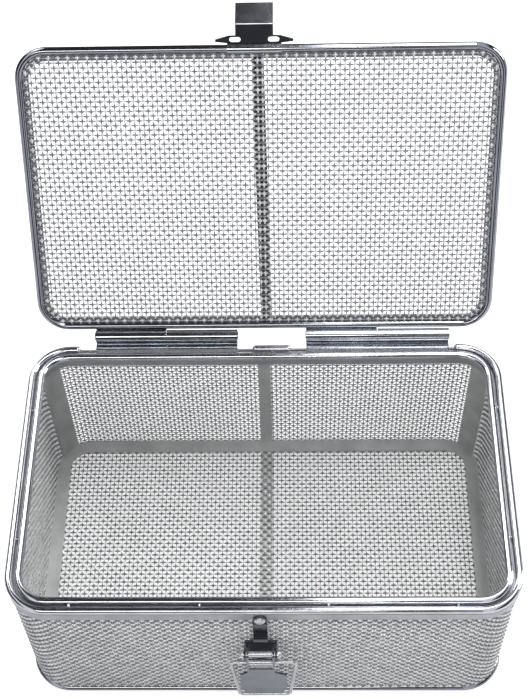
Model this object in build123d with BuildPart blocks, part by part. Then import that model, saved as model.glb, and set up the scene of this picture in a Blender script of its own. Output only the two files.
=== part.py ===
from build123d import *
from math import asin, cos, degrees, radians, sin, sqrt
import os

os.makedirs("parts", exist_ok=True)

# Overall size of the basket, in millimetres: over the rim, and from the table to the rim's top
rim_length = 200.0
rim_depth = 124.0
rim_corner_radius = 17.0
basket_height = 80.7

# Round wires
rim_wire = 3.0
inner_wire = 3.2
base_wire = 3.0
lid_wire = 3.2
ring_gap = 0.8
seat_gap = 0.1

# Woven panels, each a holed sheet of the mesh's own thickness
net_thickness = 0.8
net_bar = 3.0
net_margin = 3.4
long_wall_columns = 12
short_wall_columns = 7
wall_rows = 5
floor_columns = 13
floor_rows = 8
lid_half_columns = 7
lid_rows = 8
corner_column_angle = 13.0
corner_gap_width = 4.4
floor_edge_gap = 1.2

# Sheet strips that bind the edges of the mesh
strip_thickness = 0.8
rim_angle_height = 8.9
rim_flange_width = 4.1
rim_band_height = 4.4
floor_frame_width = 5.8
corner_strip_width = 10.0
centre_strip_width = 5.4
centre_strip_x = -0.3
tie_diameter = 1.2
front_tie_x = 74.0
front_tie_spacing = 49.0
side_tie_y = 30.0

# Hinges at the back of the rim
lid_opening = 117.26
hinge_setback = 4.2
hinge_rise = 1.9
hinge_share = 0.305
barrel_diameter = 5.2
hinge_pin_diameter = 3.0
hinge_pin_head = 3.6
hinge_pin_head_height = 0.3
running_clearance = 0.05
knuckle_gap = 0.3
body_leaf_thickness = 0.7
body_leaf_drop = 3.45
body_leaf_overhang = 0.6
body_leaf_foot = 2.4
body_leaf_joint = 0.3
lid_leaf_thickness = 0.9
lid_leaf_length = 6.5
leaf_clearance = 0.5
leaf_corner = 1.5
left_end_run = 3.95
right_end_run = 2.0
left_end_gap = 6.5
right_end_gap = 2.05
bridge_gap = 6.5

# Lid
lid_length = 193.6
lid_depth = 123.3
lid_corner_radius = 13.0
lid_setback = 2.7
lid_rest_gap = 0.4
lid_net_sink = 0.75
lid_seam_gap = 0.1
hem_width = 2.2
hem_thickness = 0.5
lid_strap_width = 4.8
lid_strap_thickness = 0.8
lid_strap_slant = 1.0
lid_strap_x = 0.1

# Keeper on the lid's free edge
latch_x = -1.2
keeper_offset = -0.8
keeper_sheet = 0.9
keeper_width = 14.7
keeper_drop = 0.25
keeper_reach = 7.7
keeper_lip = 9.8
keeper_lip_angle = 55.0
keeper_bend = 1.0
keeper_wing_span = 30.4
keeper_wing_rise = 0.55
keeper_wing_tip = 0.9
keeper_wing_reach = 2.95
keeper_wing_shoulder = 2.6
keeper_hole_length = 4.4
keeper_hole_width = 2.0
keeper_hole_x = 7.5
keeper_hole_run = 1.35
saddle_width = 21.2
saddle_sheet = 0.6
saddle_start = -132.0
saddle_end = 132.0

# Toggle latch on the front wall; the drops are measured down from the rim wire's centre
latch_sheet = 1.0
latch_top_drop = 2.2
latch_step_drop = 20.5
latch_step_run = 2.0
latch_step_height = 1.2
latch_plate_height = 17.5
latch_bottom_drop = 45.5
latch_tongue_width = 5.6
latch_tongue_corner = 2.6
latch_width = 12.9
latch_bend = 0.8
ear_thickness = 0.8
ear_boss = 2.4
ear_root_top_drop = 23.2
ear_root_bottom_drop = 37.5
lever_pin_drop = 20.8
lever_pin_reach = 6.0
lever_pin_diameter = 2.2
lever_pin_head = 3.4
lever_pin_head_height = 1.7
rivet_head = 4.4
rivet_head_height = 0.9
rivet_shank = 2.4
rivet_top_drop = 4.6
rivet_bottom_drop = 43.0

# Lever, the trunnion it carries and the wire bail on the trunnion
lever_side_gap = 0.25
lever_sheet = 0.8
lever_boss = 2.3
trunnion_diameter = 2.6
trunnion_drop = 7.7
trunnion_reach = 0.1
bail_wire = 1.6
bail_top_width = 25.8
bail_foot_width = 20.4
bail_length = 33.25
bail_bend = 1.8
bail_end_depth = 2.4
bail_offset = 1.0
web_top_drop = 31.0
shoulder_top_drop = 34.0
shoulder_bottom_drop = 37.0
tab_curl_drop = 50.0
tab_bottom_drop = 54.0
tab_width = 18.6
tab_offset = 0.9
tab_corner = 3.5
tab_bulge = 1.6
tab_curl = 0.5
tab_curl_bend = 5.0
arm_bottom_drop = 42.0
arm_foot_depth = 2.4
shoulder_corner = 1.5

# Centre line of the wall mesh, which the rim wire and the base wire follow
path_length = rim_length - rim_wire
path_depth = rim_depth - rim_wire
path_corner = rim_corner_radius - rim_wire / 2
corner_x = path_length / 2 - path_corner
corner_y = path_depth / 2 - path_corner
rim_z = basket_height - rim_wire / 2
base_z = base_wire / 2
inner_ring_inset = rim_wire / 2 + ring_gap + inner_wire / 2
wall_face = net_thickness / 2
strip_face = wall_face + strip_thickness

wall_top = rim_z - rim_wire / 2 - seat_gap
wall_bottom = base_wire + seat_gap
rim_angle_top = rim_z - inner_wire / 2 - seat_gap
rim_angle_bottom = rim_angle_top - rim_angle_height
rim_band_bottom = wall_top - rim_band_height
floor_top = wall_bottom + seat_gap
floor_bottom = floor_top - net_thickness
floor_frame_top = floor_top + strip_thickness

hinge_y = rim_depth / 2 + hinge_setback
hinge_z = rim_z + hinge_rise
hinge_length = hinge_share * rim_length
left_break = left_end_run - corner_x
right_break = corner_x - right_end_run
hinge_centres = {
    "left": left_break + left_end_gap + hinge_length / 2,
    "right": right_break - right_end_gap - hinge_length / 2,
}

# Directions in the open lid: forward from the hinge to its free edge, and out of its outer face
lid_forward = Vector(0, -cos(radians(lid_opening)), sin(radians(lid_opening)))
lid_outward = Vector(0, sin(radians(lid_opening)), cos(radians(lid_opening)))
hinge_axis_point = Vector(0, hinge_y, hinge_z)
lid_wire_height = inner_wire / 2 + lid_rest_gap + lid_wire / 2 - hinge_rise
lid_centre = lid_setback + lid_depth / 2
lid_front = lid_setback + lid_depth
lid_panel_length = lid_length - 2 * lid_wire - 2 * seat_gap
lid_panel_depth = lid_depth - 2 * lid_wire - 2 * seat_gap
lid_panel_corner = lid_corner_radius - lid_wire - seat_gap
lid_half_panel = (lid_panel_length - lid_seam_gap) / 2
lid_net_height = lid_wire_height - lid_net_sink
lid_net_face = lid_net_height + net_thickness / 2

latch_back = -(path_depth / 2 + strip_face)
lever_pin_y = latch_back - latch_sheet / 2 - latch_step_height - lever_pin_reach
trunnion_y = lever_pin_y - trunnion_reach
lever_pin_z = rim_z - lever_pin_drop
trunnion_z = lever_pin_z - trunnion_drop
lever_half_width = latch_width / 2 - ear_thickness - lever_side_gap
web_y = trunnion_y - lever_boss + lever_sheet / 2


def wall_outline(inset, mode=Mode.ADD):
    """Rounded rectangle a given distance inside the wall's centre line."""
    RectangleRounded(path_length - 2 * inset, path_depth - 2 * inset, path_corner - inset, mode=mode)


def wire_ring(wire, inset, height):
    """Closed ring of round wire that follows the wall."""
    with BuildPart() as ring:
        with BuildSketch(Plane.XY.offset(height), mode=Mode.PRIVATE) as centre_line:
            wall_outline(inset)
        path = centre_line.sketch.face().outer_wire()
        with BuildSketch(Plane(origin=path @ 0, z_dir=path % 0)):
            Circle(wire / 2)
        sweep(path=path)
    return ring.part


def net_gaps(width, height, columns, rows):
    """Grid of openings that leaves a margin all round and bars between them."""
    pitch_x = (width - 2 * net_margin + net_bar) / columns
    pitch_y = (height - 2 * net_margin + net_bar) / rows
    with GridLocations(pitch_x, pitch_y, columns, rows):
        Rectangle(pitch_x - net_bar, pitch_y - net_bar, mode=Mode.SUBTRACT)


def wall_net(plane, width, columns):
    """Flat woven panel of one wall."""
    with BuildPart() as net:
        with BuildSketch(plane):
            Rectangle(width, wall_top - wall_bottom)
            net_gaps(width, wall_top - wall_bottom, columns, wall_rows)
        extrude(amount=net_thickness / 2, both=True)
    return net.part


def corner_plate(side_x, side_y, outer, inner, start, sweep_angle, bottom, height):
    """Curved plate round one corner of the basket, between two radii."""
    quarter = {(1, 1): 0, (-1, 1): 90, (-1, -1): 180, (1, -1): 270}[(side_x, side_y)]
    centre = (side_x * corner_x, side_y * corner_y)
    with BuildPart() as plate:
        with BuildSketch(Plane.XY.offset(bottom)):
            with BuildLine():
                outside = CenterArc(centre, outer, quarter + start, sweep_angle)
                inside = CenterArc(centre, inner, quarter + start, sweep_angle)
                Line(outside @ 0, inside @ 0)
                Line(outside @ 1, inside @ 1)
            make_face()
        extrude(amount=height)
    return plate.part


def corner_net(side_x, side_y):
    """Mesh bent round one corner, with a column of openings near each end."""
    quarter = {(1, 1): 0, (-1, 1): 90, (-1, -1): 180, (1, -1): 270}[(side_x, side_y)]
    height = wall_top - wall_bottom
    pitch = (height - 2 * net_margin + net_bar) / wall_rows
    with BuildPart() as net:
        add(
            corner_plate(
                side_x,
                side_y,
                path_corner + wall_face,
                path_corner - wall_face,
                0,
                90,
                wall_bottom,
                height,
            )
        )
        for angle in (corner_column_angle, 90 - corner_column_angle):
            turn = radians(quarter + angle)
            outward = Vector(cos(turn), sin(turn), 0)
            axis_point = Vector(side_x * corner_x, side_y * corner_y, (wall_top + wall_bottom) / 2)
            with BuildSketch(Plane(origin=axis_point, x_dir=(-sin(turn), cos(turn), 0), z_dir=outward)):
                with GridLocations(pitch, pitch, 1, wall_rows):
                    Rectangle(corner_gap_width, pitch - net_bar)
            extrude(amount=path_corner + net_thickness, mode=Mode.SUBTRACT)
    return net.part


def corner_strip(side_x, side_y):
    """Bent strip inside one corner, from the rim's angle down to the floor frame."""
    outer = path_corner - wall_face
    sweep_angle = degrees(corner_strip_width / outer)
    return corner_plate(
        side_x,
        side_y,
        outer,
        outer - strip_thickness,
        45 - sweep_angle / 2,
        sweep_angle,
        floor_frame_top,
        rim_angle_bottom - floor_frame_top,
    )


def ring_tie(x, y, direction):
    """Short stud that joins the inner ring to the outer one at one place."""
    length = ring_gap - 2 * 0.02
    with BuildPart() as tie:
        with BuildSketch(Plane(origin=(x, y, rim_z), z_dir=direction)):
            Circle(tie_diameter / 2)
        extrude(amount=length / 2, both=True)
    return tie.part


def body_leaf(centre_x):
    """Hinge leaf on the basket: a plate under the barrel, and a knuckle on its right half."""
    left = centre_x - hinge_length / 2
    knuckle_length = (hinge_length - knuckle_gap) / 2
    web_root = path_depth / 2 - inner_ring_inset + inner_wire / 2 + seat_gap
    web_low = hinge_z - body_leaf_drop
    foot_top = hinge_z - barrel_diameter / 2 + body_leaf_joint
    with BuildPart() as leaf:
        with BuildSketch(Plane.YZ.offset(left)):
            with Locations((web_root, web_low)):
                Rectangle(
                    hinge_y + body_leaf_overhang - web_root,
                    body_leaf_thickness,
                    align=(Align.MIN, Align.MIN),
                )
        extrude(amount=hinge_length)
        fillet(leaf.edges().filter_by(Axis.Z).group_by(Axis.Y)[0], leaf_corner)
        with BuildSketch(Plane.YZ.offset(left + hinge_length - knuckle_length)):
            with Locations((hinge_y, web_low)):
                Rectangle(body_leaf_foot, foot_top - web_low, align=(Align.CENTER, Align.MIN))
            with Locations((hinge_y, hinge_z)):
                Circle(barrel_diameter / 2)
                Circle(hinge_pin_diameter / 2 + running_clearance, mode=Mode.SUBTRACT)
        extrude(amount=knuckle_length)
    return leaf.part


def lid_section(right_x):
    """Plane square to the hinge, whose axes run forward along the lid and out of it."""
    origin = hinge_axis_point + Vector(right_x, 0, 0)
    return Plane(origin=origin, x_dir=lid_forward, z_dir=(-1, 0, 0))


def lid_level(height):
    """Plane parallel to the lid, whose second axis runs back towards the hinge."""
    return Plane(origin=hinge_axis_point + lid_outward * height, x_dir=(1, 0, 0), z_dir=lid_outward)


def lid_leaf(centre_x):
    """Hinge leaf on the lid: a knuckle on its left half, and a sheet over the lid's wire."""
    left = centre_x - hinge_length / 2
    knuckle_length = (hinge_length - knuckle_gap) / 2
    root = (barrel_diameter - lid_leaf_thickness) / 2
    seat = lid_wire_height + (lid_wire + seat_gap + lid_leaf_thickness) / 2
    clear_edge = barrel_diameter / 2 + leaf_clearance
    with BuildPart() as leaf:
        with BuildSketch(lid_section(left + knuckle_length)):
            Circle(barrel_diameter / 2)
            with BuildLine():
                FilletPolyline(
                    (0, root),
                    (lid_setback / 4, root),
                    (clear_edge, seat),
                    (lid_leaf_length, seat),
                    radius=lid_leaf_thickness,
                )
            trace(line_width=lid_leaf_thickness)
            Circle(hinge_pin_diameter / 2 + running_clearance, mode=Mode.SUBTRACT)
        extrude(amount=knuckle_length)
        with BuildSketch(lid_section(left + hinge_length)):
            with Locations((clear_edge, seat)):
                Rectangle(
                    lid_leaf_length - clear_edge,
                    lid_leaf_thickness,
                    align=(Align.MIN, Align.CENTER),
                )
        extrude(amount=hinge_length - knuckle_length)
    return leaf.part


def hinge_pin(centre_x):
    """Pin through both knuckles, with a low head at each end."""
    with BuildPart() as pin:
        with BuildSketch(Plane.YZ.offset(centre_x)):
            with Locations((hinge_y, hinge_z)):
                Circle(hinge_pin_diameter / 2)
        extrude(amount=hinge_length / 2 + running_clearance, both=True)
        for side in (-1, 1):
            end = side * (hinge_length / 2 + running_clearance)
            with BuildSketch(Plane(origin=(centre_x + end, hinge_y, hinge_z), z_dir=(side, 0, 0))):
                Circle(hinge_pin_head / 2)
            extrude(amount=hinge_pin_head_height, taper=25)
    return pin.part


def lid_net(side):
    """Woven panel of one half of the lid, from the frame to the seam in the middle."""
    middle = side * (lid_seam_gap + lid_half_panel) / 2
    with BuildPart() as net:
        with BuildSketch(lid_level(lid_net_face - net_thickness)):
            with Locations((0, -lid_centre)):
                RectangleRounded(lid_panel_length, lid_panel_depth, lid_panel_corner)
            with Locations((middle, -lid_centre)):
                Rectangle(lid_half_panel, lid_panel_depth, mode=Mode.INTERSECT)
                net_gaps(lid_half_panel, lid_panel_depth, lid_half_columns, lid_rows)
        extrude(amount=net_thickness)
    return net.part


def lid_hem(side):
    """Folded border of one half of the lid's mesh, on its outer face, up to the strap."""
    middle = side * (lid_seam_gap + lid_half_panel) / 2
    with BuildPart() as hem:
        with BuildSketch(lid_level(lid_net_face)):
            with Locations((0, -lid_centre)):
                RectangleRounded(lid_panel_length, lid_panel_depth, lid_panel_corner)
                RectangleRounded(
                    lid_panel_length - 2 * hem_width,
                    lid_panel_depth - 2 * hem_width,
                    lid_panel_corner - hem_width,
                    mode=Mode.SUBTRACT,
                )
            with Locations((lid_strap_x, -lid_centre)):
                Rectangle(
                    lid_strap_width + 2 * seat_gap,
                    lid_depth,
                    rotation=-lid_strap_slant,
                    mode=Mode.SUBTRACT,
                )
            with Locations((middle, -lid_centre)):
                Rectangle(lid_half_panel, lid_panel_depth, mode=Mode.INTERSECT)
        extrude(amount=hem_thickness)
    return hem.part


def rivet(drop):
    """Round-headed rivet through the latch base and the strip behind it."""
    head_plane = Plane(origin=(latch_x, latch_back - latch_sheet, rim_z - drop), z_dir=(0, -1, 0))
    with BuildPart() as stud:
        with BuildSketch(head_plane):
            Circle(rivet_head / 2)
        extrude(amount=rivet_head_height)
        fillet(stud.faces().sort_by(Axis.Y)[0].edges(), rivet_head_height * 0.8)
        with BuildSketch(head_plane):
            Circle(rivet_shank / 2)
        extrude(amount=-(latch_sheet + strip_thickness))
    return stud.part


def rivet_hole(drop):
    """Clearance hole for a rivet through the sheets of the front wall."""
    with Locations(Plane(origin=(latch_x, latch_back - 2 * latch_sheet, rim_z - drop), z_dir=(0, -1, 0))):
        Hole(rivet_shank / 2 + running_clearance, depth=2 * (latch_sheet + strip_thickness))


def keep(piece, label):
    """Name a finished piece and write it to its own file."""
    piece.label = label
    export_step(piece, f"parts/{label}.step")


# Outer ring of the rim, left open behind the hinges, with rounded ends
with BuildPart() as rim_outer_ring:
    add(wire_ring(rim_wire, 0, rim_z))
    with Locations(((left_break + right_break) / 2, path_depth / 2, rim_z)):
        Box(right_break - left_break, 2 * rim_wire, 2 * rim_wire, mode=Mode.SUBTRACT)
    for end_x in (left_break, right_break):
        rim_end = rim_outer_ring.edges().filter_by(lambda e: abs(e.center().X - end_x) < 0.05)
        fillet(rim_end, 0.4 * rim_wire)
keep(rim_outer_ring.part, "rim_outer_ring")

# Short length of the same wire between the two hinges
bridge_left = hinge_centres["left"] + hinge_length / 2 + bridge_gap
bridge_right = hinge_centres["right"] - hinge_length / 2 - bridge_gap
with BuildPart() as rim_outer_bridge:
    with BuildSketch(Plane.YZ.offset(bridge_left)):
        with Locations((path_depth / 2, rim_z)):
            Circle(rim_wire / 2)
    extrude(amount=bridge_right - bridge_left)
    fillet(rim_outer_bridge.edges().filter_by(GeomType.CIRCLE), 0.4 * rim_wire)
keep(rim_outer_bridge.part, "rim_outer_bridge")

keep(wire_ring(inner_wire, inner_ring_inset, rim_z), "rim_inner_ring")
keep(wire_ring(base_wire, 0, base_z), "base_ring")

# Studs that tie the two rings of the rim together
front_gap_y = path_depth / 2 - rim_wire / 2 - ring_gap / 2
side_gap_x = path_length / 2 - rim_wire / 2 - ring_gap / 2
with BuildPart() as rim_ties:
    for tie_x in (-front_tie_x, front_tie_x - 2 * front_tie_spacing, front_tie_x - front_tie_spacing, front_tie_x):
        add(ring_tie(tie_x, -front_gap_y, (0, 1, 0)))
    for tie_side in (-1, 1):
        add(ring_tie(tie_side * side_gap_x, -side_tie_y, (1, 0, 0)))
        add(ring_tie(tie_side * side_gap_x, side_tie_y, (1, 0, 0)))
    add(ring_tie((bridge_left + bridge_right) / 2, front_gap_y, (0, 1, 0)))
keep(rim_ties.part, "rim_ties")

# Angle strip inside the top of the wall: a leg on the mesh and a flange under the inner ring
with BuildPart() as rim_angle:
    with BuildSketch(Plane.XY.offset(rim_angle_bottom)):
        wall_outline(wall_face)
        wall_outline(strip_face, mode=Mode.SUBTRACT)
    extrude(amount=rim_angle_height)
    with BuildSketch(Plane.XY.offset(rim_angle_top - strip_thickness)):
        wall_outline(wall_face)
        wall_outline(wall_face + rim_flange_width, mode=Mode.SUBTRACT)
    extrude(amount=strip_thickness)
keep(rim_angle.part, "rim_angle")

# Band round the outside of the wall's top edge
with BuildPart() as rim_band:
    with BuildSketch(Plane.XY.offset(rim_band_bottom)):
        wall_outline(-strip_face)
        wall_outline(-wall_face, mode=Mode.SUBTRACT)
    extrude(amount=rim_band_height)
    rivet_hole(rivet_top_drop)
keep(rim_band.part, "rim_band")

# Walls of woven wire: four flats and the four bends between them
wall_middle = (wall_top + wall_bottom) / 2
front_plane = Plane(origin=(0, -path_depth / 2, wall_middle), x_dir=(1, 0, 0), z_dir=(0, -1, 0))
back_plane = Plane(origin=(0, path_depth / 2, wall_middle), x_dir=(1, 0, 0), z_dir=(0, -1, 0))
left_plane = Plane(origin=(-path_length / 2, 0, wall_middle), x_dir=(0, 1, 0), z_dir=(1, 0, 0))
right_plane = Plane(origin=(path_length / 2, 0, wall_middle), x_dir=(0, 1, 0), z_dir=(1, 0, 0))
keep(wall_net(front_plane, 2 * corner_x, long_wall_columns), "wall_mesh_front")
keep(wall_net(back_plane, 2 * corner_x, long_wall_columns), "wall_mesh_back")
keep(wall_net(left_plane, 2 * corner_y, short_wall_columns), "wall_mesh_left")
keep(wall_net(right_plane, 2 * corner_y, short_wall_columns), "wall_mesh_right")

for depth_name, side_y in (("front", -1), ("back", 1)):
    for side_name, side_x in (("left", -1), ("right", 1)):
        keep(corner_net(side_x, side_y), f"corner_mesh_{depth_name}_{side_name}")
        keep(corner_strip(side_x, side_y), f"corner_strip_{depth_name}_{side_name}")

# Floor: the woven panel, the flat frame on its edge and the strip under its middle
with BuildPart() as floor_mesh:
    with BuildSketch(Plane.XY.offset(floor_bottom)):
        wall_outline(wall_face + floor_edge_gap)
        net_gaps(
            path_length - 2 * (wall_face + floor_edge_gap),
            path_depth - 2 * (wall_face + floor_edge_gap),
            floor_columns,
            floor_rows,
        )
    extrude(amount=net_thickness)
keep(floor_mesh.part, "floor_mesh")

with BuildPart() as floor_frame:
    with BuildSketch(Plane.XY.offset(floor_top)):
        wall_outline(wall_face)
        wall_outline(wall_face + floor_frame_width, mode=Mode.SUBTRACT)
    extrude(amount=strip_thickness)
keep(floor_frame.part, "floor_frame")

with BuildPart() as floor_strip:
    with BuildSketch(Plane.XY.offset(floor_bottom)):
        with Locations((centre_strip_x, 0)):
            Rectangle(centre_strip_width, path_depth - base_wire - 2 * seat_gap)
    extrude(amount=-strip_thickness)
keep(floor_strip.part, "floor_strip")

# Strips over the mesh's seams: inside the back wall and outside the front wall
back_foot = (centre_strip_x, path_depth / 2 - wall_face, floor_frame_top)
front_foot = (latch_x, -path_depth / 2 - wall_face, wall_bottom)
with BuildPart() as back_strip:
    with BuildSketch(Plane(origin=back_foot, x_dir=(1, 0, 0), z_dir=(0, -1, 0))):
        Rectangle(centre_strip_width, rim_angle_bottom - floor_frame_top, align=(Align.CENTER, Align.MIN))
    extrude(amount=strip_thickness)
keep(back_strip.part, "back_centre_strip")

with BuildPart() as front_strip:
    with BuildSketch(Plane(origin=front_foot, x_dir=(1, 0, 0), z_dir=(0, -1, 0))):
        Rectangle(centre_strip_width, rim_band_bottom - wall_bottom, align=(Align.CENTER, Align.MIN))
    extrude(amount=strip_thickness)
    rivet_hole(rivet_bottom_drop)
keep(front_strip.part, "front_centre_strip")

# Hinges
for side_name, centre_x in hinge_centres.items():
    keep(body_leaf(centre_x), f"hinge_body_leaf_{side_name}")
    keep(lid_leaf(centre_x), f"hinge_lid_leaf_{side_name}")
    keep(hinge_pin(centre_x), f"hinge_pin_{side_name}")

# Lid frame of round wire
with BuildPart() as lid_frame:
    with BuildSketch(lid_level(lid_wire_height), mode=Mode.PRIVATE) as lid_line:
        with Locations((0, -lid_centre)):
            RectangleRounded(lid_length - lid_wire, lid_depth - lid_wire, lid_corner_radius - lid_wire / 2)
    lid_path = lid_line.sketch.face().outer_wire()
    with BuildSketch(Plane(origin=lid_path @ 0, z_dir=lid_path % 0)):
        Circle(lid_wire / 2)
    sweep(path=lid_path)
keep(lid_frame.part, "lid_frame_ring")

# Flat rod across the middle of the lid, over the seam between the two halves of its mesh
with BuildPart() as lid_rod:
    with BuildSketch(lid_level(lid_net_face)):
        with Locations((lid_strap_x, -lid_centre)):
            Rectangle(lid_strap_width, lid_depth, rotation=-lid_strap_slant)
        with Locations((0, -lid_centre)):
            Rectangle(lid_panel_length, lid_panel_depth, mode=Mode.INTERSECT)
    extrude(amount=lid_strap_thickness)
keep(lid_rod.part, "lid_centre_rod")

for side_name, side in (("left", -1), ("right", 1)):
    keep(lid_net(side), f"lid_mesh_{side_name}")
    keep(lid_hem(side), f"lid_hem_{side_name}")

# Saddle bent round the lid's front wire
keeper_x = latch_x + keeper_offset
saddle_inner = lid_wire / 2 + seat_gap / 2
saddle_outer = saddle_inner + saddle_sheet
wire_front = (lid_front - lid_wire / 2, lid_wire_height)
with BuildPart() as keeper_saddle:
    with BuildSketch(lid_section(keeper_x + saddle_width / 2)):
        with BuildLine():
            shell = CenterArc(wire_front, saddle_outer, saddle_start, saddle_end - saddle_start)
            bore = CenterArc(wire_front, saddle_inner, saddle_start, saddle_end - saddle_start)
            Line(shell @ 0, bore @ 0)
            Line(shell @ 1, bore @ 1)
        make_face()
    extrude(amount=saddle_width)
keeper_saddle.part.label = "keeper_saddle"
export_step(keeper_saddle.part, "parts/keeper_saddle.step")

# Keeper: a winged plate with two holes, and a tongue whose upturned lip takes the bail
keeper_start = wire_front[0] + saddle_outer + seat_gap
keeper_level = lid_wire_height - keeper_drop
keeper_crook = keeper_start + keeper_reach
wing_front = keeper_start + keeper_wing_reach
wing_root = keeper_start + keeper_wing_rise
lip_rise = keeper_lip * sin(radians(keeper_lip_angle))
lip_run = keeper_lip * cos(radians(keeper_lip_angle))
wing_corners = [
    (saddle_width / 2, -keeper_start),
    (keeper_wing_span / 2, -wing_root),
    (keeper_wing_span / 2, -wing_root - keeper_wing_tip),
    (keeper_width / 2 + keeper_wing_shoulder, -wing_front),
]
with BuildPart() as keeper:
    with BuildSketch(lid_level(keeper_level - keeper_sheet / 2)):
        with Locations((keeper_x, 0)):
            Polygon(*wing_corners, *[(-x, y) for x, y in reversed(wing_corners)], align=None)
    extrude(amount=keeper_sheet)
    with BuildSketch(lid_section(keeper_x + keeper_width / 2)):
        with BuildLine():
            FilletPolyline(
                (keeper_start + keeper_sheet, keeper_level),
                (keeper_crook, keeper_level),
                (keeper_crook + lip_run, keeper_level + lip_rise),
                radius=keeper_bend,
            )
        trace(line_width=keeper_sheet)
    extrude(amount=keeper_width)
    with BuildSketch(lid_level(keeper_level)):
        with Locations((keeper_x, -keeper_start - keeper_hole_run)):
            with GridLocations(2 * keeper_hole_x, 0, 2, 1):
                SlotOverall(keeper_hole_length, keeper_hole_width)
    extrude(amount=keeper_sheet, both=True, mode=Mode.SUBTRACT)
keeper.part.label = "keeper"
export_step(keeper.part, "parts/keeper.step")

# Latch base: two tongues riveted to the wall and a raised plate with an ear at each side
latch_front = Plane(origin=(latch_x, latch_back, rim_z), x_dir=(1, 0, 0), z_dir=(0, -1, 0))
sheet_y = latch_back - latch_sheet / 2
plate_y = sheet_y - latch_step_height
plate_top_drop = latch_step_drop + latch_step_run
plate_bottom_drop = plate_top_drop + latch_plate_height - latch_step_run
with BuildPart() as latch_base:
    with BuildSketch(Plane.YZ.offset(latch_x)):
        with BuildLine():
            FilletPolyline(
                (sheet_y, rim_z - latch_top_drop),
                (sheet_y, rim_z - latch_step_drop),
                (plate_y, rim_z - plate_top_drop),
                (plate_y, rim_z - plate_bottom_drop),
                (sheet_y, rim_z - plate_bottom_drop - latch_step_run),
                (sheet_y, rim_z - latch_bottom_drop),
                radius=latch_bend,
            )
        trace(line_width=latch_sheet)
    extrude(amount=latch_width / 2, both=True)
    with BuildSketch(latch_front):
        with Locations((0, -(latch_top_drop + latch_bottom_drop) / 2)):
            RectangleRounded(latch_tongue_width, latch_bottom_drop - latch_top_drop, latch_tongue_corner)
        with Locations((0, -(plate_top_drop + plate_bottom_drop) / 2)):
            RectangleRounded(latch_width, plate_bottom_drop - plate_top_drop, latch_bend)
    extrude(amount=latch_step_height + 2 * latch_sheet, mode=Mode.INTERSECT)
    for side in (-1, 1):
        with BuildSketch(Plane.YZ.offset(latch_x + side * (latch_width - ear_thickness) / 2)):
            with BuildLine():
                CenterArc((lever_pin_y, lever_pin_z), ear_boss, 0, 360)
                Line((plate_y, rim_z - ear_root_top_drop), (plate_y, rim_z - ear_root_bottom_drop))
            make_hull()
        extrude(amount=ear_thickness / 2, both=True)
    with Locations(Plane(origin=(latch_x - latch_width / 2, lever_pin_y, lever_pin_z), z_dir=(-1, 0, 0))):
        Hole(lever_pin_diameter / 2 + running_clearance, depth=latch_width)
    rivet_hole(rivet_top_drop)
    rivet_hole(rivet_bottom_drop)
latch_base.part.label = "latch_base"
export_step(latch_base.part, "parts/latch_base.step")

with BuildPart() as latch_rivets:
    add(rivet(rivet_top_drop))
    add(rivet(rivet_bottom_drop))
latch_rivets.part.label = "latch_rivets"
export_step(latch_rivets.part, "parts/latch_rivets.step")

# Pin through the ears, with a round head outside each of them
with BuildPart() as latch_lever_pin:
    with BuildSketch(Plane.YZ.offset(latch_x)):
        with Locations((lever_pin_y, lever_pin_z)):
            Circle(lever_pin_diameter / 2)
    extrude(amount=latch_width / 2 + seat_gap, both=True)
    for side in (-1, 1):
        head_x = latch_x + side * (latch_width / 2 + seat_gap)
        with BuildSketch(Plane(origin=(head_x, lever_pin_y, lever_pin_z), z_dir=(side, 0, 0))):
            Circle(lever_pin_head / 2)
        extrude(amount=lever_pin_head_height)
    fillet(latch_lever_pin.faces().sort_by(Axis.X)[0].edges(), 0.35 * lever_pin_head)
    fillet(latch_lever_pin.faces().sort_by(Axis.X)[-1].edges(), 0.35 * lever_pin_head)
latch_lever_pin.part.label = "latch_lever_pin"
export_step(latch_lever_pin.part, "parts/latch_lever_pin.step")

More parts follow.
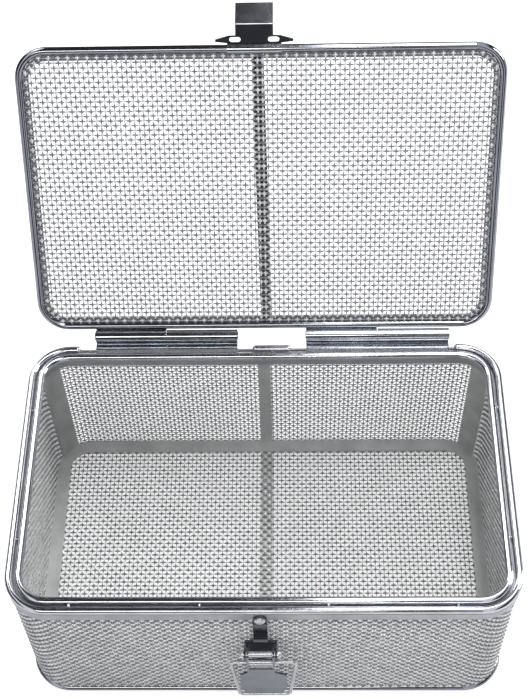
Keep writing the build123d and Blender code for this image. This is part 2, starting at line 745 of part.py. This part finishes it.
# Lever: two arms on the pin, joined by a web that widens into the thumb tab
tab_left = tab_offset - tab_width / 2
tab_right = tab_offset + tab_width / 2
with BuildPart() as latch_lever:
    with BuildSketch(Plane.YZ.offset(latch_x)):
        with BuildLine():
            FilletPolyline(
                (web_y, rim_z - web_top_drop),
                (web_y, rim_z - tab_curl_drop),
                (web_y - tab_curl, rim_z - tab_bottom_drop),
                radius=tab_curl_bend,
            )
        trace(line_width=lever_sheet)
    extrude(amount=tab_width / 2 + tab_offset, both=True)
    with BuildSketch(latch_front):
        with BuildLine():
            Polyline(
                (tab_left, tab_bulge - tab_bottom_drop),
                (tab_left, -shoulder_bottom_drop),
                (-lever_half_width, -shoulder_top_drop),
                (-lever_half_width, -web_top_drop),
                (lever_half_width, -web_top_drop),
                (lever_half_width, -shoulder_top_drop),
                (tab_right, -shoulder_bottom_drop),
                (tab_right, tab_bulge - tab_bottom_drop),
            )
            ThreePointArc(
                (tab_left, tab_bulge - tab_bottom_drop),
                (tab_offset, -tab_bottom_drop),
                (tab_right, tab_bulge - tab_bottom_drop),
            )
        make_face()
        fillet(vertices().group_by(Axis.Y)[0], tab_corner)
        fillet(vertices().filter_by(lambda v: abs(v.Y + shoulder_bottom_drop) < seat_gap), shoulder_corner)
    extrude(amount=latch_width + tab_curl, mode=Mode.INTERSECT)
    for side in (-1, 1):
        with BuildSketch(Plane.YZ.offset(latch_x + side * (lever_half_width - lever_sheet / 2))):
            with BuildLine():
                CenterArc((lever_pin_y, lever_pin_z), lever_boss, 0, 360)
                CenterArc((trunnion_y, trunnion_z), lever_boss, 0, 360)
                Line((web_y, rim_z - arm_bottom_drop), (web_y + arm_foot_depth, rim_z - arm_bottom_drop))
            make_hull()
        extrude(amount=lever_sheet / 2, both=True)
    with Locations(Plane(origin=(latch_x - lever_half_width, lever_pin_y, lever_pin_z), z_dir=(-1, 0, 0))):
        Hole(lever_pin_diameter / 2 + running_clearance, depth=2 * lever_half_width)
    with Locations(Plane(origin=(latch_x - lever_half_width, trunnion_y, trunnion_z), z_dir=(-1, 0, 0))):
        Hole(trunnion_diameter / 2 + running_clearance, depth=2 * lever_half_width)
latch_lever.part.label = "latch_lever"
export_step(latch_lever.part, "parts/latch_lever.step")

# Tube across the lever's arms that holds the two ends of the bail
with BuildPart() as latch_trunnion:
    with BuildSketch(Plane.YZ.offset(latch_x)):
        with Locations((trunnion_y, trunnion_z)):
            Circle(trunnion_diameter / 2)
            Circle(bail_wire / 2 + running_clearance, mode=Mode.SUBTRACT)
    extrude(amount=lever_half_width, both=True)
latch_trunnion.part.label = "latch_trunnion"
export_step(latch_trunnion.part, "parts/latch_trunnion.step")

# Bail: one length of wire from the trunnion's left end round to its right end
bail_end = lever_half_width - bail_end_depth
bail_origin = (latch_x + bail_offset, trunnion_y, trunnion_z)
with BuildPart() as latch_bail:
    with BuildLine(Plane(origin=bail_origin, x_dir=(1, 0, 0), z_dir=(0, -1, 0))) as bail_line:
        FilletPolyline(
            (-bail_end, 0),
            (-bail_top_width / 2, 0),
            (-bail_foot_width / 2, -bail_length),
            (bail_foot_width / 2, -bail_length),
            (bail_top_width / 2, 0),
            (bail_end, 0),
            radius=bail_bend,
        )
    with BuildSketch(Plane(origin=bail_line.wire() @ 0, z_dir=bail_line.wire() % 0)):
        Circle(bail_wire / 2)
    sweep()
latch_bail.part.label = "latch_bail"
export_step(latch_bail.part, "parts/latch_bail.step")
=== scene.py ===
from math import cos, pi, radians, sin, sqrt

import bpy
import numpy as np
from mathutils import Matrix, Vector


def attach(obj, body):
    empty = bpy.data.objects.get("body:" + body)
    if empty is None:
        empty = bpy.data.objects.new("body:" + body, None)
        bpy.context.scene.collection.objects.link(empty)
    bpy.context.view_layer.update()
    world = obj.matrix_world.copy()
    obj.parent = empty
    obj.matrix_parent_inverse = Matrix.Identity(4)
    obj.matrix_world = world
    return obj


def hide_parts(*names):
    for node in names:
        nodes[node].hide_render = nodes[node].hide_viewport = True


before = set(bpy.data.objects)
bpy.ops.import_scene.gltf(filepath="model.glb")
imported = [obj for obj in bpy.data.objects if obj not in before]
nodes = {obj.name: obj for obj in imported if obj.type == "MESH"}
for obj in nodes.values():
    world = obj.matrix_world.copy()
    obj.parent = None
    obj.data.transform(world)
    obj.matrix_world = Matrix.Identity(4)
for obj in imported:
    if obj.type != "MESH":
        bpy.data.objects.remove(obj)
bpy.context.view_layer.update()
scene = bpy.context.scene

# ---------- sizes of the woven cloths, in millimetres
MM = 0.001

# Distance between wires, radius of a wire and how far it leaves the middle of the cloth
PITCH = 1.9
LID_PITCH_U, LID_PITCH_V = 1.90, 1.98
WIRE = 0.37
CRIMP = 0.37

# Middle of the walls' cloth as half sizes and corner radius, its rows and its ends
HALF_X, HALF_Y, CORNER = 98.5, 60.5, 15.5
FLAT_X, FLAT_Y = HALF_X - CORNER, HALF_Y - CORNER
BEND = pi * CORNER / 2
PERIMETER = 4 * (FLAT_X + FLAT_Y) + 2 * pi * CORNER
WALL_COLUMNS = 2 * round(PERIMETER / PITCH / 2)
WALL_ROWS, FIRST_ROW = 39, 3.4
WALL_LOW, WALL_HIGH = 3.1, 77.6

# Floor as half sizes and corner radius, its wires and its height
FLOOR_X, FLOOR_Y, FLOOR_R = 96.9, 58.9, 13.9
FLOOR_COLUMNS, FLOOR_ROWS = 102, 62
FLOOR_LEVEL = 2.8

# Lid in its open pose: hinge line, the way it runs from there and the way its outer face looks
OPENING = radians(117.26)
HINGE = np.array((0.0, 66.2, 81.1))
FORWARD = np.array((0.0, -cos(OPENING), sin(OPENING)))
OUTWARD = np.array((0.0, sin(OPENING), cos(OPENING)))
# Its two cloths: half width, ends from the hinge line, corner radius, wires, how far they lie outward of the
# hinge line, and half the gap between them
LID_X, LID_LOW, LID_HIGH, LID_R = 93.5, 6.0, 122.7, 9.7
LID_MIDDLE, LID_HALF = (LID_LOW + LID_HIGH) / 2, (LID_HIGH - LID_LOW) / 2
LID_COLUMNS, LID_ROWS = 98, 59
LID_LEVEL = 0.9
SEAM = 0.05

# ---------- materials
RELIEF_DEPTH = 0.00008  # metres
TONE_STOPS = (0.3, 0.7)  # of the noise, where the darkest and the lightest tone are reached


def steel(name, colour, polish, relief, grain, shade=0.12, metal=1.0):
    """Steel whose tone and polish vary in soft patches, with a fine relief.

    polish is the lowest and highest roughness, relief the bump's strength, grain the scale of the patches,
    shade the tone's swing either way, and metal how metallic it is.
    """
    m = bpy.data.materials.new(name)
    m.use_nodes = True
    new, link = m.node_tree.nodes.new, m.node_tree.links.new
    surface = m.node_tree.nodes["Principled BSDF"].inputs
    surface["Metallic"].default_value = metal
    place = new("ShaderNodeTexCoord").outputs["Object"]

    def noise(scale, detail):
        made = new("ShaderNodeTexNoise")
        made.inputs["Scale"].default_value = scale
        made.inputs["Detail"].default_value = detail
        link(place, made.inputs["Vector"])
        return made.outputs["Fac"]

    patches, fine = noise(scale=grain, detail=4), noise(scale=6 * grain, detail=6)
    tone = new("ShaderNodeValToRGB")
    for stop, position, swing in zip(tone.color_ramp.elements, TONE_STOPS, (-shade, shade)):
        stop.position = position
        stop.color = (*(min(1.0, c * (1 + swing)) for c in colour), 1)
    link(patches, tone.inputs["Fac"])
    link(tone.outputs["Color"], surface["Base Color"])
    rough = new("ShaderNodeMapRange")
    rough.inputs["To Min"].default_value, rough.inputs["To Max"].default_value = polish
    link(fine, rough.inputs["Value"])
    link(rough.outputs["Result"], surface["Roughness"])
    bump = new("ShaderNodeBump")
    bump.inputs["Strength"].default_value = relief
    bump.inputs["Distance"].default_value = RELIEF_DEPTH
    link(fine, bump.inputs["Height"])
    link(bump.outputs["Normal"], surface["Normal"])
    return m


ROUND = steel("round_wire_steel", (0.62, 0.63, 0.66), (0.06, 0.16), 0.1, 90)
# One woven wire steel in two painted tones: a near-white painted highlight for the lengths that rise toward
# the camera, and a dark painted shade for the rest of each wire
PAINTED_HIGHLIGHT_WIRE = steel("woven_wire_painted_highlight", (0.90, 0.90, 0.89), (0.18, 0.34), 0.25, 160, shade=0.08, metal=0.35)
PAINTED_SHADE_WIRE = steel("woven_wire_painted_shade", (0.30, 0.30, 0.30), (0.18, 0.34), 0.25, 160, shade=0.2, metal=0.5)
STRIP = steel("strip_steel", (0.54, 0.54, 0.53), (0.34, 0.52), 0.4, 120, metal=0.6)
SHEET = steel("pressed_sheet_steel", (0.50, 0.52, 0.55), (0.07, 0.17), 0.08, 140)
BAND = steel("band_steel", (0.42, 0.42, 0.43), (0.28, 0.46), 0.4, 120, metal=0.7)
HEM = steel("hem_steel", (0.27, 0.28, 0.31), (0.28, 0.44), 0.4, 120, metal=0.7)
EDGE = steel("dark_round_steel", (0.36, 0.37, 0.40), (0.06, 0.16), 0.1, 90)
DARK = steel("dark_sheet_steel", (0.23, 0.24, 0.27), (0.07, 0.17), 0.08, 140)
# Near-black painted shade for the latch base, whose box lies in shade between its ears
PAINTED_SHADE_SHEET = steel("sheet_steel_painted_shade", (0.13, 0.135, 0.16), (0.07, 0.17), 0.08, 140)
BAIL = steel("bail_wire_steel", (0.62, 0.62, 0.63), (0.14, 0.26), 0.05, 60, shade=0.06, metal=0.75)

# Each node takes the first steel in whose row its name starts
STEELS = (
    (EDGE, ("base_ring", "lid_frame")),
    (ROUND, ("rim_outer", "rim_inner", "rim_ties", "lid_centre")),
    (BAIL, ("latch_bail", "latch_lever_pin", "latch_trunnion", "latch_rivets")),
    (DARK, ("latch_lever",)),
    (PAINTED_SHADE_SHEET, ("latch_base",)),
    (BAND, ("rim_angle", "rim_band")),
    (HEM, ("lid_hem",)),
    (SHEET, ("hinge", "keeper")),
    (STRIP, ("",)),
)
for name, node in nodes.items():
    node.data.materials.clear()
    node.data.materials.append(next(made for made, starts in STEELS if name.startswith(starts)))


# ---------- surfaces of the cloths: points and normals at u, v and a distance out of the middle
# The walls: u runs from the middle of the front to the right and round, v upward. A flat has its start,
# length, first point, direction and normal, a bend its start, centre and the angle of its first normal. The
# last flat runs 1 mm on, so that rounding leaves no point out.
MARKS = np.cumsum([FLAT_X, BEND, 2 * FLAT_Y, BEND, 2 * FLAT_X, BEND, 2 * FLAT_Y, BEND])
FLATS = (
    (0, FLAT_X, (0, -HALF_Y), (1, 0), (0, -1)),
    (MARKS[1], 2 * FLAT_Y, (HALF_X, -FLAT_Y), (0, 1), (1, 0)),
    (MARKS[3], 2 * FLAT_X, (FLAT_X, HALF_Y), (-1, 0), (0, 1)),
    (MARKS[5], 2 * FLAT_Y, (-HALF_X, FLAT_Y), (0, -1), (-1, 0)),
    (MARKS[7], FLAT_X + 1, (-FLAT_X, -HALF_Y), (1, 0), (0, -1)),
)
BENDS = (
    (MARKS[0], (FLAT_X, -FLAT_Y), -pi / 2),
    (MARKS[2], (FLAT_X, FLAT_Y), 0),
    (MARKS[4], (-FLAT_X, FLAT_Y), pi / 2),
    (MARKS[6], (-FLAT_X, -FLAT_Y), pi),
)


def wall_surface(u, v, out):
    u = np.mod(u, PERIMETER)
    p = np.zeros((len(u), 3))
    n = np.zeros((len(u), 3))
    for start, length, origin, along, normal in FLATS:
        k = (u >= start) & (u <= start + length)
        p[k, :2] = np.array(origin) + np.outer(u[k] - start, along)
        n[k, :2] = normal
    for start, centre, turn in BENDS:
        k = (u > start) & (u < start + BEND)
        a = turn + (u[k] - start) / CORNER
        n[k, 0], n[k, 1] = np.cos(a), np.sin(a)
        p[k, :2] = np.array(centre) + CORNER * n[k, :2]
    p[:, 2] = v
    return p + n * out[:, None], n


def floor_surface(u, v, out):
    return np.stack([u, v, FLOOR_LEVEL + out], 1), np.tile((0.0, 0.0, 1.0), (len(u), 1))


def lid_surface(u, v, out):
    p = HINGE + np.outer(v, FORWARD) + np.outer(LID_LEVEL + out, OUTWARD)
    p[:, 0] += u
    return p, np.tile(OUTWARD, (len(u), 1))


def photo_side(normals):
    """1 where the photograph's camera sees the side that a normal looks to, else -1.

    It sees the outside of the front, the top of the floor, and the inside of the other walls and the lid.
    """
    return np.where((normals[:, 1] < -0.5) | (normals[:, 2] > 0.5), 1, -1)


# ---------- woven wire
END_GAP = 0.2  # shortest last length of a wire, as a share of a half pitch
SIDES = 6  # of a wire
PAINTED_HIGHLIGHT_RISE = 1e-6  # millimetres that a length must rise toward the camera's side, taken over its two ends, to get the painted highlight


def centred(count, pitch):
    return (np.arange(count) - (count - 1) / 2) * pitch


def reach(half_length, half_width, radius, across):
    """How far a wire at one place across a rounded panel runs either way from its middle."""
    over = max(0.0, abs(across) - (half_width - radius))
    return half_length - (radius - sqrt(max(0.0, radius**2 - over**2)))


def samples(low, high, origin, pitch):
    """The wire's ends, each crossing and the middle between crossings."""
    step = pitch / 2
    first = int(np.ceil((low - origin) / step + END_GAP))
    last = int(np.floor((high - origin) / step - END_GAP))
    return np.concatenate([[low], origin + np.arange(first, last + 1) * step, [high]])


def weave(kind, surface, us, vs, u_span, v_span):
    """Crimped wires, each over and under the next: the warp along v at each u, the weft along u at each v.

    A wire has its points, its normals, and which of its lengths get a painted highlight. Both wires get it at
    every second crossing, on the lengths that rise toward the camera's side, which gives the checker; the
    rest of each wire gets a painted shade.
    """
    warp = kind == "warp"
    places, crossings, span = (us, vs, v_span) if warp else (vs, us, u_span)
    pitch = crossings[1] - crossings[0]
    wires = []
    for i, place in enumerate(places):
        run = samples(*span(place), crossings[0], pitch)
        still = np.full(len(run), place)
        wave = CRIMP * (-1) ** i * np.cos(pi * (run - crossings[0]) / pitch)
        points, normals = surface(still, run, wave) if warp else surface(run, still, -wave)
        # Lengths that rise toward the camera's side get the painted highlight, the others the painted shade
        shine = photo_side(normals) * wave
        wires.append((points, normals, shine[:-1] + shine[1:] > PAINTED_HIGHLIGHT_RISE))
    return wires


def tubes(name, wires):
    """One mesh of many wires with closed ends, each length in the painted shade or the painted highlight."""
    ring = np.arange(SIDES)
    following = (ring + 1) % SIDES
    angle = (2 * pi * ring / SIDES)[None, :, None]
    verts, quads, caps, painted_lit_faces = [], [], [], []
    base = 0
    for points, normals, painted_lit_lengths in wires:
        tangent = np.gradient(points, axis=0)
        tangent /= np.linalg.norm(tangent, axis=1)[:, None]
        side = np.cross(tangent, normals)
        side /= np.linalg.norm(side, axis=1)[:, None]
        up = np.cross(side, tangent)
        loop = points[:, None] + WIRE * (np.cos(angle) * up[:, None] + np.sin(angle) * side[:, None])
        verts.append(loop.reshape(-1, 3))
        row = base + np.arange(len(points) - 1)[:, None] * SIDES
        corners = (row + ring, row + following, row + SIDES + following, row + SIDES + ring)
        quads.append(np.stack(corners, 2).reshape(-1, 4))
        painted_lit_faces.append(np.repeat(painted_lit_lengths, SIDES))
        caps.append(base + ring[::-1])
        base += len(points) * SIDES
        caps.append(base - SIDES + ring)
    co = np.concatenate(verts) * MM
    quads = np.concatenate(quads)
    caps = np.array(caps)
    index = np.concatenate([quads.ravel(), caps.ravel()])
    total = np.concatenate([np.full(len(quads), 4), np.full(len(caps), SIDES)])
    start = np.concatenate([[0], np.cumsum(total)[:-1]])
    slot = np.concatenate([*painted_lit_faces, np.zeros(len(caps), bool)])
    mesh = bpy.data.meshes.new(name)
    mesh.vertices.add(len(co))
    mesh.vertices.foreach_set("co", co.astype(np.float32).ravel())
    mesh.loops.add(len(index))
    mesh.loops.foreach_set("vertex_index", index.astype(np.int32))
    mesh.polygons.add(len(total))
    mesh.polygons.foreach_set("loop_start", start.astype(np.int32))
    mesh.polygons.foreach_set("loop_total", total.astype(np.int32))
    mesh.polygons.foreach_set("use_smooth", np.ones(len(total), bool))
    # Slot 0 is the painted shade, slot 1 the painted highlight; the closed ends take the painted shade
    mesh.materials.append(PAINTED_SHADE_WIRE)
    mesh.materials.append(PAINTED_HIGHLIGHT_WIRE)
    mesh.polygons.foreach_set("material_index", slot.astype(np.int32))
    mesh.update(calc_edges=True)
    mesh.validate()
    made = bpy.data.objects.new(name, mesh)
    scene.collection.objects.link(made)
    return made


# Walls, in two halves. The right one also stands for the whole front and back nets
WALL_PITCH = PERIMETER / WALL_COLUMNS
wall_us = (np.arange(WALL_COLUMNS) + 0.5) * WALL_PITCH
wall_vs = FIRST_ROW + np.arange(WALL_ROWS) * PITCH
WALL_HALVES = (
    ("right", wall_us[:WALL_COLUMNS // 2], ("right", "mesh_front", "mesh_back")),
    ("left", wall_us[WALL_COLUMNS // 2:], ("left",)),
)
for side, us, endings in WALL_HALVES:
    ends = us[0] - WALL_PITCH / 2, us[-1] + WALL_PITCH / 2
    for kind in ("warp", "weft"):
        wires = weave(kind, wall_surface, us, wall_vs, lambda v: ends, lambda u: (WALL_LOW, WALL_HIGH))
        piece = tubes(f"wall_{kind}_{side}", wires)
        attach(piece, "basket")
        if kind == "warp":
            nets = [n for n in nodes if n.startswith(("wall_mesh", "corner_mesh"))]
            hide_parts(*[n for n in nets if n.endswith(endings)])


# Floor
def floor_rows(v):
    end = reach(FLOOR_X, FLOOR_Y, FLOOR_R, v)
    return -end, end


def floor_columns(u):
    end = reach(FLOOR_Y, FLOOR_X, FLOOR_R, u)
    return -end, end


floor_us, floor_vs = centred(FLOOR_COLUMNS, PITCH), centred(FLOOR_ROWS, PITCH)
for kind in ("warp", "weft"):
    piece = tubes(f"floor_{kind}", weave(kind, floor_surface, floor_us, floor_vs, floor_rows, floor_columns))
    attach(piece, "basket")
    if kind == "warp":
        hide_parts("floor_mesh")


# Lid: one cloth on each side of the seam under the centre rod
def lid_rows(sign):
    def span(v):
        return sorted((sign * SEAM, sign * reach(LID_X, LID_HALF, LID_R, v - LID_MIDDLE)))
    return span


def lid_columns(u):
    end = reach(LID_HALF, LID_X, LID_R, u)
    return LID_MIDDLE - end, LID_MIDDLE + end


lid_us = centred(LID_COLUMNS, LID_PITCH_U)
lid_vs = LID_MIDDLE + centred(LID_ROWS, LID_PITCH_V)
for side, sign, us in (("left", -1, lid_us[:LID_COLUMNS // 2]), ("right", 1, lid_us[LID_COLUMNS // 2:])):
    for kind in ("warp", "weft"):
        piece = tubes(f"lid_{kind}_{side}", weave(kind, lid_surface, us, lid_vs, lid_rows(sign), lid_columns))
        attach(piece, "lid")
        if kind == "warp":
            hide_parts(f"lid_mesh_{side}")


# ---------- ground, light and camera, in metres
GROUND_HALF, GROUND_DROP = 2, 0.0002
GROUND_WHITE = 0.8
CAMERA_GLOW, MIRROR_GLOW = 0.66, 0.12  # of the ground, for the camera and in what mirrors it

# Bands of the sky, from the left (0) to the right (1): place and level
SKY = (
    (0.0, 0.03), (0.10, 0.03), (0.15, 1.0), (0.27, 1.0), (0.32, 0.04), (0.54, 0.04),
    (0.60, 0.9), (0.72, 0.9), (0.78, 0.04), (0.90, 0.04), (0.95, 0.6), (1.0, 0.6),
)
SKY_TINT = (0.94, 0.97, 1.06)


def emptied(owner):
    """Ways to add nodes to the emptied tree of a material or world, and to link them."""
    owner.use_nodes = True
    owner.node_tree.nodes.clear()
    return owner.node_tree.nodes.new, owner.node_tree.links.new


def multiplied(new, link, value, factor, added):
    """value times factor, plus a number or another value."""
    node = new("ShaderNodeMath")
    node.operation = "MULTIPLY_ADD"
    link(value, node.inputs[0])
    node.inputs[1].default_value = factor
    if isinstance(added, float):
        node.inputs[2].default_value = added
    else:
        link(added, node.inputs[2])
    return node.outputs[0]


def ground_white():
    """Matt white ground that the camera sees as plain white, with the object's shadow on it."""
    m = bpy.data.materials.new("ground_white")
    new, link = emptied(m)
    ray = new("ShaderNodeLightPath").outputs
    glow = multiplied(new, link, ray["Is Camera Ray"], CAMERA_GLOW, 0.0)
    glow = multiplied(new, link, ray["Is Glossy Ray"], MIRROR_GLOW, glow)
    matt, shine, both = new("ShaderNodeBsdfDiffuse"), new("ShaderNodeEmission"), new("ShaderNodeAddShader")
    matt.inputs["Color"].default_value = (GROUND_WHITE, GROUND_WHITE, GROUND_WHITE, 1)
    link(glow, shine.inputs["Strength"])
    link(matt.outputs[0], both.inputs[0])
    link(shine.outputs[0], both.inputs[1])
    link(both.outputs[0], new("ShaderNodeOutputMaterial").inputs["Surface"])
    return m


def studio():
    """World that the camera sees as plain white. All else is lit by, and mirrors, the sky's bands."""
    world = bpy.data.worlds.new("studio")
    new, link = emptied(world)
    ramp = new("ShaderNodeValToRGB")
    stops = ramp.color_ramp.elements
    stops[0].position, stops[1].position = SKY[0][0], SKY[-1][0]
    for place, _ in SKY[1:-1]:
        stops.new(place)
    for stop, (_, level) in zip(stops, SKY):
        stop.color = (*(c * level for c in SKY_TINT), 1)
    split = new("ShaderNodeSeparateXYZ")
    link(new("ShaderNodeTexCoord").outputs["Generated"], split.inputs[0])
    link(multiplied(new, link, split.outputs["X"], 0.5, 0.5), ramp.inputs["Fac"])
    sky, white, mix = new("ShaderNodeBackground"), new("ShaderNodeBackground"), new("ShaderNodeMixShader")
    link(ramp.outputs["Color"], sky.inputs["Color"])
    white.inputs["Color"].default_value = (1, 1, 1, 1)
    link(new("ShaderNodeLightPath").outputs["Is Camera Ray"], mix.inputs["Fac"])
    link(sky.outputs[0], mix.inputs[1])
    link(white.outputs[0], mix.inputs[2])
    link(mix.outputs[0], new("ShaderNodeOutputWorld").inputs["Surface"])
    return world


def softbox(name, at, to, size, power):
    lamp = bpy.data.lights.new(name, "AREA")
    lamp.shape = "RECTANGLE"
    lamp.size, lamp.size_y = size
    lamp.energy = power
    o = bpy.data.objects.new(name, lamp)
    o.location = at
    o.rotation_mode = "QUATERNION"
    o.rotation_quaternion = (Vector(to) - Vector(at)).to_track_quat("-Z", "Y")
    scene.collection.objects.link(o)


ground_mesh = bpy.data.meshes.new("ground")
square = [(x * GROUND_HALF, y * GROUND_HALF, 0) for x, y in ((-1, -1), (1, -1), (1, 1), (-1, 1))]
ground_mesh.from_pydata(square, [], [(0, 1, 2, 3)])
ground = bpy.data.objects.new("ground", ground_mesh)
ground.location.z = -GROUND_DROP
ground_mesh.materials.append(ground_white())
scene.collection.objects.link(ground)

scene.world = studio()
softbox("ceiling", (0.15, 0.25, 1.20), (0.15, 0.25, 0), (0.20, 1.30), 5.2)
softbox("left_window", (-0.72, 0.80, 1.30), (0, 0, 0.08), (0.55, 0.50), 4.5)
softbox("side", (1.25, 0.30, 0.75), (0, 0, 0.05), (0.35, 0.70), 13.0)
softbox("front", (-0.25, -1.10, 1.10), (0, 0, 0.05), (0.80, 0.28), 4.0)

# Camera, fitted to the photograph: picture size, focal length and centre in pixels. The fit's heights start
# from the middle of the rim's wires
WIDTH, HEIGHT = 529, 699
FOCAL, CENTRE_X, CENTRE_Y = 1374.909, 253.205, 353.904
RIM_LEVEL = 0.0792
camera = bpy.data.cameras.new("camera")
camera.sensor_fit = "HORIZONTAL"
camera.sensor_width = 36
camera.lens = FOCAL * camera.sensor_width / WIDTH
camera.shift_x = (WIDTH / 2 - CENTRE_X) / WIDTH
camera.shift_y = (CENTRE_Y - HEIGHT / 2) / WIDTH
camera.clip_start, camera.clip_end = 0.01, 20
eye = bpy.data.objects.new("camera", camera)
right = Vector((0.99960605, 0.00988831, -0.02626703))
up = Vector((0.00688267, 0.82094216, 0.57096987))
ahead = Vector((-0.02720964, 0.57092573, -0.8205507))
turn = Matrix((right, up, -ahead)).transposed().to_4x4()
eye.matrix_world = Matrix.Translation((0.01124984, -0.27798529, 0.48250810 + RIM_LEVEL)) @ turn
scene.collection.objects.link(eye)
scene.camera = eye

scene.view_settings.view_transform = "Standard"
